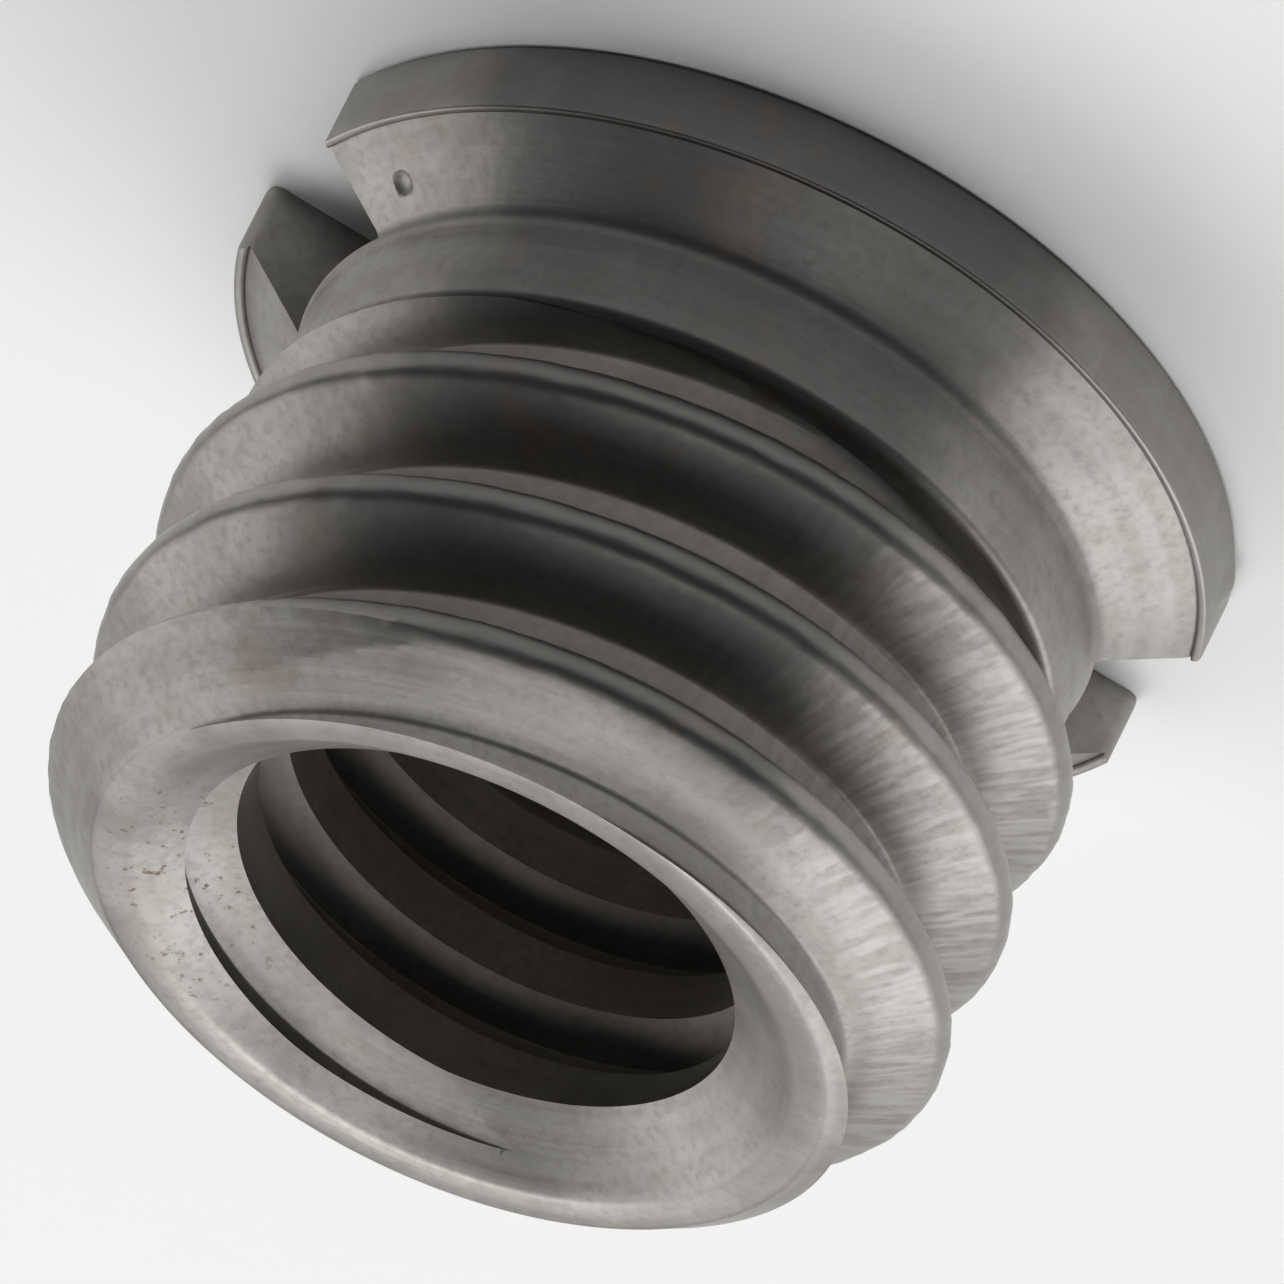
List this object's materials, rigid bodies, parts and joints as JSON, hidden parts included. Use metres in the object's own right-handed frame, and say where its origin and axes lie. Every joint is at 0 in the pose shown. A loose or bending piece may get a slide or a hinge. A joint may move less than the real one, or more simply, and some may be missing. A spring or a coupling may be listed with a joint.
{
  "type": "tripod thread adapter",
  "caption": "Flanged steel bushing with a coarse screw thread outside and a tapped hole through it, to fit a small screw to a larger socket.",
  "frame": {"origin": "centre of the flange face, the face that the part stands on", "axes": "+Z along the hole, from the flange face to the open threaded end; X along the screwdriver slot"},
  "size_m": [0.01, 0.0104, 0.0076],
  "materials": {
    "bare_steel": "worn satin, lightly oxidised"
  },
  "bodies": {
    "root": {"thread_adapter": "bare_steel"}
  },
  "joints": []
}
